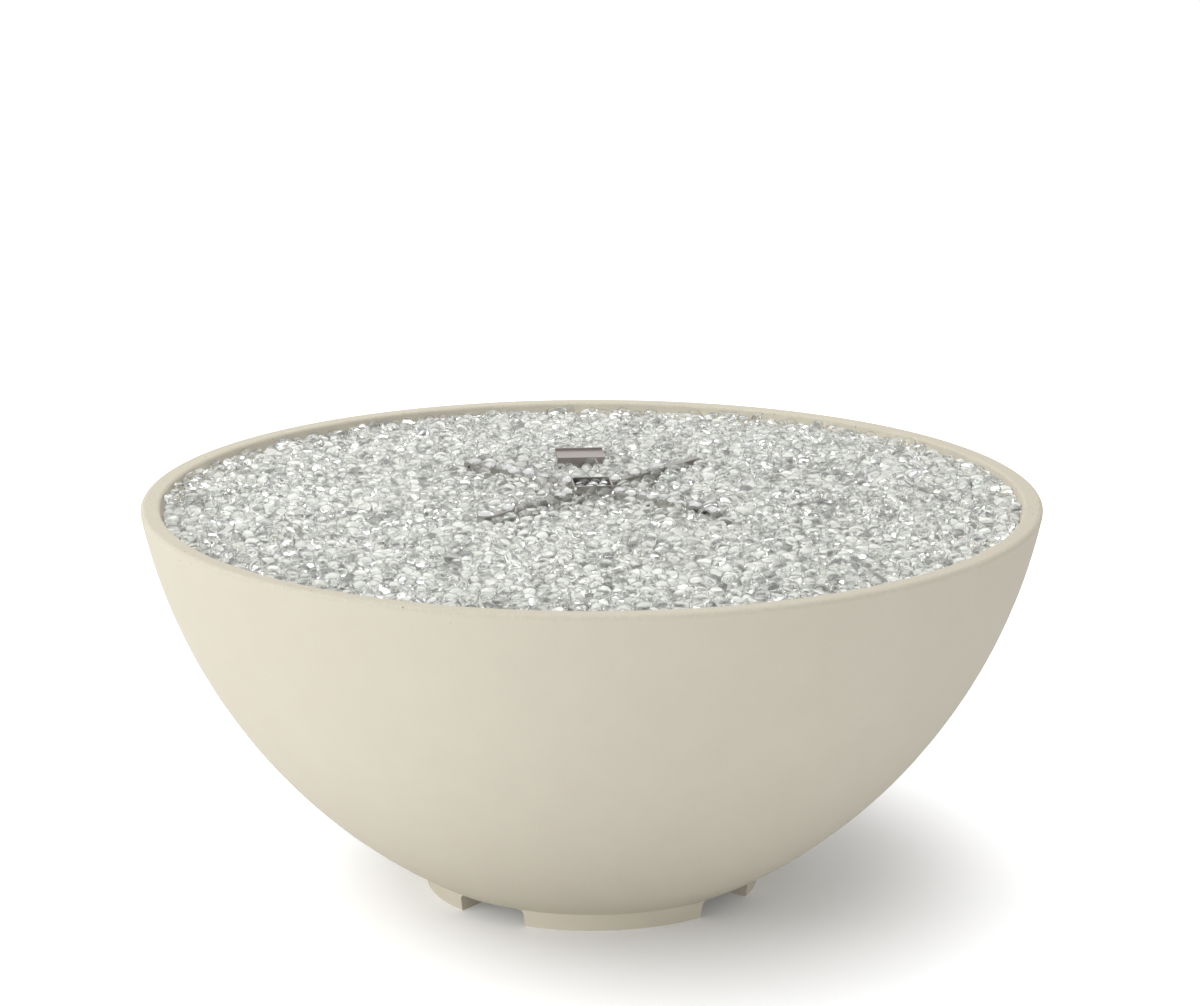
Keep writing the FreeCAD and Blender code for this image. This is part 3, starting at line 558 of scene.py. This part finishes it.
def settled_nuggets(rng):
    """Places, radii and depths of the bed's nuggets, which are strewn at random and pushed apart."""
    mean_volume = 4 / 3 * math.pi * nugget_radius ** 3 * nugget_flatness
    count = int(math.pi * bed_wall_radius ** 2 * bed_depth * bed_packing / mean_volume)
    radius = np.clip(rng.normal(nugget_radius, nugget_spread, count), nugget_least, nugget_most)
    reach = np.sqrt(rng.random(count)) * (bed_wall_radius - nugget_radius)
    angle = rng.random(count) * 2 * math.pi
    x, y = reach * np.cos(angle), reach * np.sin(angle)
    top = bed_top(x, y) / nugget_flatness
    stretched_depth = bed_depth / nugget_flatness
    place = np.column_stack([x, y, top - radius - rng.random(count) * (stretched_depth - 2 * radius)])
    jitter = rng.normal(0, settle_jitter, count)
    blocks = burner_blocks()
    for step in range(settle_steps):
        if step % pairs_every == 0:
            first, second = close_pairs(place, 2 * nugget_most * pairs_reach)
            top = bed_top(place[:, 0], place[:, 1]) / nugget_flatness
        push_apart(place, radius, first, second)
        place[:, 2] -= settle_fall * (1 - step / settle_steps)
        keep_off_blocks(place, radius, blocks)
        keep_inside(place, radius, top + jitter, top - stretched_depth)
    depth = (top - place[:, 2]) * nugget_flatness
    return place * scale_up, radius, depth


# Pieces of the glass bed

def add_object(name, data):
    made = bpy.data.objects.new(name, data)
    bpy.context.scene.collection.objects.link(made)
    return made


def show(name, mesh, material, body, slot, *stands_for):
    """Add a visible piece. Clear glass casts no shadow, so that light reaches the deeper bed."""
    made = add_object(name, mesh)
    mesh.materials.append(material)
    made.visible_shadow = not material.name.startswith("clear_glass")
    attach(made, body)
    if stands_for:
        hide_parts(*stands_for)
    return made


def pebble(variant, level):
    """One rounded, slightly lopsided pebble of about unit half width, as points and triangles."""
    made = bpy.data.meshes.new("pebble")
    ball = bmesh.new()
    bmesh.ops.create_icosphere(ball, subdivisions=level, radius=1.0)
    ball.to_mesh(made)
    ball.free()
    points = np.array([v.co for v in made.vertices])
    faces = np.array([p.vertices[:] for p in made.polygons])
    bpy.data.meshes.remove(made)
    offset = Vector([variant * step for step in pebble_noise_steps])
    swell = [1 + pebble_swell * noise.noise(Vector(p) * pebble_swell_scale + offset) for p in points]
    points = points * np.array(swell)[:, None]
    points[:, 2] *= nugget_flatness
    return points, faces


def nugget_mesh(name, place, radius, rng, shapes, tilt=nugget_tilt, lowest=0.0):
    """Nuggets at their places, each turned and stretched a little. A nugget that is too high is lowered,
    and what is then below the lowest height is flattened onto it."""
    all_points, all_faces, all_tints = [], [], []
    start = 0
    for centre, size in zip(place, radius):
        points, faces = shapes[rng.integers(len(shapes))]
        stretch = rng.normal(1, nugget_stretch)
        tilts = rng.normal(0, 1, 2) * tilt
        turn = Euler((*tilts, rng.random() * 2 * math.pi)).to_matrix()
        form = np.array(turn) * np.array([stretch, 1 / stretch, 1])
        placed = points @ form.T * size * nugget_shrink + centre
        placed[:, 2] -= max(0, placed[:, 2].max() - highest)
        placed[:, 2] = np.maximum(placed[:, 2], lowest)
        all_points.append(placed)
        all_faces.append(faces + start)
        all_tints.append(np.full(len(points), rng.beta(nugget_tint_shape, nugget_tint_shape)))
        start += len(points)
    points = np.concatenate(all_points)
    faces = np.concatenate(all_faces)
    mesh = bpy.data.meshes.new(name)
    mesh.vertices.add(len(points))
    mesh.vertices.foreach_set("co", points.astype(np.float32).ravel())
    mesh.loops.add(3 * len(faces))
    mesh.loops.foreach_set("vertex_index", faces.astype(np.int32).ravel())
    mesh.polygons.add(len(faces))
    mesh.polygons.foreach_set("loop_start", np.arange(0, 3 * len(faces), 3, dtype=np.int32))
    mesh.polygons.foreach_set("use_smooth", np.ones(len(faces), bool))
    mesh.update(calc_edges=True)
    tint = mesh.attributes.new("tint", "FLOAT", "POINT")
    tint.data.foreach_set("value", np.concatenate(all_tints).astype(np.float32))
    return mesh


def arm_spots():
    """The nuggets on top of the arms, as x, y and radius in millimetres."""
    spots = []
    for arm, places in arm_nuggets.items():
        turn = math.radians(arm_degrees[arm])
        cos, sin = math.cos(turn), math.sin(turn)
        spots += [(along * cos - across * sin, along * sin + across * cos, size)
                  for along, across, size in places]
    return spots


def resting_glass(material, rng, shapes):
    """Nuggets that lie flat side down in the shallow tray on top of the burner's hub, and on its arms."""
    for name, spots in (("fire_glass_tray", tray_nuggets), ("fire_glass_arms", arm_spots())):
        place = [(x / 1000, y / 1000, highest - size / 1000 * nugget_flatness) for x, y, size in spots]
        radius = [size / 1000 for x, y, size in spots]
        mesh = nugget_mesh(name, place, radius, rng, shapes, nugget_flat_tilt, arm_top + arm_rest_gap)
        show(name, mesh, material, "bowl", "fire_glass", "fire_glass")


def glass_bed(material, shaded):
    """The nuggets that show, in sectors with a finer upper and a coarser lower layer."""
    rng = np.random.default_rng(random_seed)
    place, radius, depth = settled_nuggets(rng)
    fine = [pebble(variant, fine_level) for variant in range(pebble_variants)]
    coarse = [pebble(variant, coarse_level) for variant in range(pebble_variants)]
    angle = np.arctan2(place[:, 1], place[:, 0])
    sector = np.floor((angle + math.pi) / (2 * math.pi) * bed_sectors).astype(int) % bed_sectors
    upper = depth < top_layer
    for number in range(bed_sectors):
        for layer, shapes, chosen in (("top", fine, upper), ("under", coarse, ~upper)):
            here = (sector == number) & chosen
            name = "fire_glass_" + layer + "_" + str(number + 1)
            mesh = nugget_mesh(name, place[here], radius[here], rng, shapes)
            show(name, mesh, material, "bowl", "fire_glass", "fire_glass")
    resting_glass(shaded, rng, fine)


def buried_bed(material):
    """The nuggets below those that show, as one bumpy sheet with no thickness."""
    spokes = buried_spokes
    radii = np.linspace(0, 1, buried_rings + 1)[1:] * (bed_wall_radius - buried_wall_gap)
    angles = np.arange(spokes) / spokes * 2 * math.pi
    grid_r, grid_a = np.meshgrid(radii, angles, indexing="ij")
    x, y = grid_r * np.cos(grid_a), grid_r * np.sin(grid_a)
    z = bed_top(x, y) - bed_depth + buried_rise
    points = np.column_stack([x.ravel(), y.ravel(), z.ravel()])
    limit = np.interp(points[:, 2], wall_heights, wall_radii) - buried_limit_gap
    share = np.minimum(1, limit / np.hypot(points[:, 0], points[:, 1]))
    points[:, 0] *= share
    points[:, 1] *= share
    centre = len(points)
    centre_z = float(bed_top(np.zeros(1), np.zeros(1))[0] - bed_depth)
    points = [tuple(p) for p in points] + [(0, 0, centre_z)]
    faces = []
    for r in range(buried_rings - 1):
        for a in range(spokes):
            b = (a + 1) % spokes
            faces.append((r * spokes + a, (r + 1) * spokes + a, (r + 1) * spokes + b, r * spokes + b))
    for a in range(spokes):
        faces.append((centre, a, (a + 1) % spokes))
    mesh = bpy.data.meshes.new("fire_glass_buried")
    mesh.from_pydata(points, [], faces)
    mesh.polygons.foreach_set("use_smooth", np.ones(len(faces), bool))
    show("fire_glass_buried", mesh, material, "bowl", "fire_glass", "fire_glass")


# Springs

def coil_spring(name, joint, material):
    """A helix in the room of the plain sleeve that stands for a spring in the CAD."""
    axis = Vector(next(j["axis"] for j in frame["joints"] if j["name"] == joint)).normalized()
    points = np.array([v.co for v in frame["nodes"][name].data.vertices])
    middle = (points.min(0) + points.max(0)) / 2
    along = (points - middle) @ np.array(axis)
    away = np.linalg.norm(points - middle - along[:, None] * np.array(axis), axis=1)
    wire = (away.max() - away.min()) / 2 * spring_wire_share
    radius = (away.max() + away.min()) / 2
    low, high = along.min() + wire, along.max() - wire
    side = axis.orthogonal().normalized()
    across = axis.cross(side)
    rings, spokes = spring_turns * spring_steps_per_turn, spring_wire_spokes
    vertices, faces = [], []
    for step in range(rings + 1):
        turns = step / rings * spring_turns
        turn = 2 * math.pi * turns
        pitch = np.clip((turns - spring_closed_turns) / (spring_turns - 2 * spring_closed_turns), 0, 1)
        outward = side * math.cos(turn) + across * math.sin(turn)
        centre = Vector(middle) + outward * radius + axis * (low + (high - low) * float(pitch))
        for spoke in range(spokes):
            angle = 2 * math.pi * spoke / spokes
            vertices.append(centre + (outward * math.cos(angle) + axis * math.sin(angle)) * wire)
    for ring in range(rings):
        for spoke in range(spokes):
            other = (spoke + 1) % spokes
            faces.append((ring * spokes + spoke, ring * spokes + other,
                          (ring + 1) * spokes + other, (ring + 1) * spokes + spoke))
    faces.append(tuple(range(spokes)))
    faces.append(tuple(reversed(range(rings * spokes, (rings + 1) * spokes))))
    mesh = bpy.data.meshes.new(name + "_coil")
    mesh.from_pydata(vertices, [], faces)
    mesh.validate()
    mesh.polygons.foreach_set("use_smooth", np.ones(len(mesh.polygons), bool))
    coil = show(name + "_coil", mesh, material, "bowl", "spring_steel", name)
    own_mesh(coil)


# Materials of the CAD nodes

def dress(materials, own_materials):
    """Give each node the material of its slot, or the one kept for names that begin like its own."""
    for name, node in frame["nodes"].items():
        slot = node.material_slots[0]
        own = [material for start, material in own_materials.items() if name.startswith(start)]
        slot.material = own[0] if own else materials[slot.material.name]


# Camera, light and floor

def turned_about_z(x, y, z, angle):
    return Matrix.Rotation(angle, 3, "Z") @ Vector((x, y, z))


def add_camera():
    data = bpy.data.cameras.new("camera")
    camera = add_object("camera", data)
    data.sensor_width = sensor_width
    data.sensor_fit = "HORIZONTAL"
    data.lens = focal_pixels * sensor_width / image_width
    data.clip_end = camera_far
    look = turned_about_z(0, math.cos(camera_elevation), -math.sin(camera_elevation), camera_turn)
    aim = turned_about_z(aim_right, 0, aim_height, camera_turn)
    camera.location = aim - look * camera_distance
    camera.rotation_euler = look.to_track_quat("-Z", "Y").to_euler()
    bpy.context.scene.camera = camera


def mirrored_rays(tree, path):
    """1 for rays that metal or glass has mirrored or let through, and 0 for all others."""
    return maths(tree, "MAXIMUM", path.outputs["Is Glossy Ray"], path.outputs["Is Transmission Ray"])


def add_world():
    """A white background, and for glass and metal a studio that is darker on its front side."""
    world = bpy.data.worlds.new("studio")
    world.use_nodes = True
    bpy.context.scene.world = world
    tree = world.node_tree
    path = add(tree, "ShaderNodeLightPath")
    direction = add(tree, "ShaderNodeTexCoord").outputs["Generated"]
    front = turned_about_z(0, -math.cos(camera_elevation), math.sin(camera_elevation), camera_turn)
    facing = vector_maths(tree, "DOT_PRODUCT", {0: direction, 1: front})["Value"]
    studio = spread(tree, facing, (studio_dark_from, studio_dark_to), (studio_bright, studio_dark),
                    interpolation_type="SMOOTHSTEP")
    strength = mix(tree, mirrored_rays(tree, path), fill_strength, studio)
    strength = mix(tree, path.outputs["Is Camera Ray"], strength, 1.0)
    background = tree.nodes["Background"]
    plug(tree, background.inputs["Color"], white)
    plug(tree, background.inputs["Strength"], strength)


def add_light(name, place, size, power):
    data = bpy.data.lights.new(name, "AREA")
    data.shape = "SQUARE"
    data.size = size
    data.energy = power
    light = add_object(name, data)
    light.location = turned_about_z(*place, camera_turn)
    away = light.location - Vector((0, 0, light_aim_height))
    light.rotation_euler = away.to_track_quat("Z", "Y").to_euler()


def add_floor():
    """A pale floor that takes the bowl's shadow, and glows for camera, metal and glass, less so in an
    oval around the bowl, which is a painted shadow.
    """
    mesh = bpy.data.meshes.new("floor")
    half = floor_size / 2
    corners = [(-half, -half, 0), (half, -half, 0), (half, half, 0), (-half, half, 0)]
    mesh.from_pydata(corners, [], [(0, 1, 2, 3)])
    floor = add_object("floor", mesh)
    material, tree, shader = start_material("floor_white")
    scuffs = cloud(tree, place_of(tree), scale=1.5, detail=2.0)
    colour = ramp(tree, scuffs, noise_range, (shade(floor_tint, floor_scuffs), floor_tint))
    plug(tree, shader.inputs["Base Color"], colour)
    shader.inputs["Roughness"].default_value = 1.0
    shader.inputs["Specular IOR Level"].default_value = 0.0
    shader.inputs["Emission Color"].default_value = white
    # Less glow within an oval about a point beside the bowl: a painted shadow, also seen in metal and
    # glass.
    shifted = vector_maths(tree, "SUBTRACT", {0: place_of(tree), 1: (*floor_painted_shadow_middle, 0)})[0]
    squeezed = vector_maths(tree, "MULTIPLY", {0: shifted, 1: (1, floor_painted_shadow_squeeze, 1)})[0]
    away = vector_maths(tree, "LENGTH", {0: squeezed})["Value"]
    glow_with_painted_shadow = spread(tree, away, (floor_painted_shadow_inner, floor_painted_shadow_outer), (floor_glow_in_painted_shadow, floor_glow_far),
                  interpolation_type="SMOOTHSTEP")
    path = add(tree, "ShaderNodeLightPath")
    seen = maths(tree, "MAXIMUM", path.outputs["Is Camera Ray"], mirrored_rays(tree, path))
    plug(tree, shader.inputs["Emission Strength"], maths(tree, "MULTIPLY", seen, glow_with_painted_shadow))
    mesh.materials.append(material)


wall_heights, wall_radii = inner_wall()
top_wall_radius = wall_radii[-1]
bed_wall_radius = wall_radii[-4]

glass = clear_glass("clear_glass")
# The tray's and arms' nuggets get the darker copy of the glass, as painted shade.
glass_bed(glass, clear_glass("clear_glass_painted_shade", painted_shade_glass_share))
buried_bed(buried_glass())

heated_steel = metal("heated_steel", linear(156, 153, 147), 0.34, grain=(60.0, 60.0, 60.0), streak=0.16)
hood_steel = metal("hood_steel", linear(160, 152, 146), 0.32, grain=(500.0, 6.0, 6.0), streak=0.05,
                   metallic=0.5)
dress({
    "concrete": concrete(),
    "fire_glass": glass,
    "stainless": metal("stainless_steel", linear(196, 192, 188), 0.28),
    "galvanised": metal("galvanised_steel", linear(176, 178, 180), 0.45, grain=(30, 30, 30), streak=0.12),
    "brass": metal("brass", linear(206, 172, 104), 0.3),
    "braid": metal("steel_braid", linear(186, 187, 188), 0.38, grain=(500, 500, 500), streak=0.15),
    "ceramic": moulded("ceramic", linear(232, 228, 218), 0.35),
    "copper": metal("copper", linear(200, 128, 96), 0.32),
    "aluminium": metal("aluminium", linear(205, 206, 208), 0.35),
    "silicone": moulded("silicone", linear(168, 60, 44), 0.55),
    "spring_steel": metal("spring_steel", linear(170, 172, 176), 0.3),
    "black_plastic": moulded("black_plastic", linear(34, 34, 36), 0.5),
    "battery": metal("battery_case", linear(120, 124, 130), 0.35),
    "button_red": moulded("red_plastic", linear(178, 34, 28), 0.4),
}, {
    "burner_arm": heated_steel,
    "arm_cap": heated_steel,
    "burner_hub": heated_steel,
    "ignition_hood": hood_steel,
})
spring_wire = metal("spring_wire", linear(170, 172, 176), 0.3)
coil_spring("knob_spring", "knob_push", spring_wire)
coil_spring("button_spring", "igniter_press", spring_wire)

add_camera()
add_world()
add_light("key", key_place, key_size, key_power)
add_light("overhead", overhead_place, overhead_size, overhead_power)
add_light("front", front_place, front_size, front_power)
add_floor()
scene = bpy.context.scene
scene.cycles.max_bounces = light_bounces
scene.cycles.transmission_bounces = light_bounces
scene.cycles.glossy_bounces = light_bounces
scene.view_settings.view_transform = "Standard"
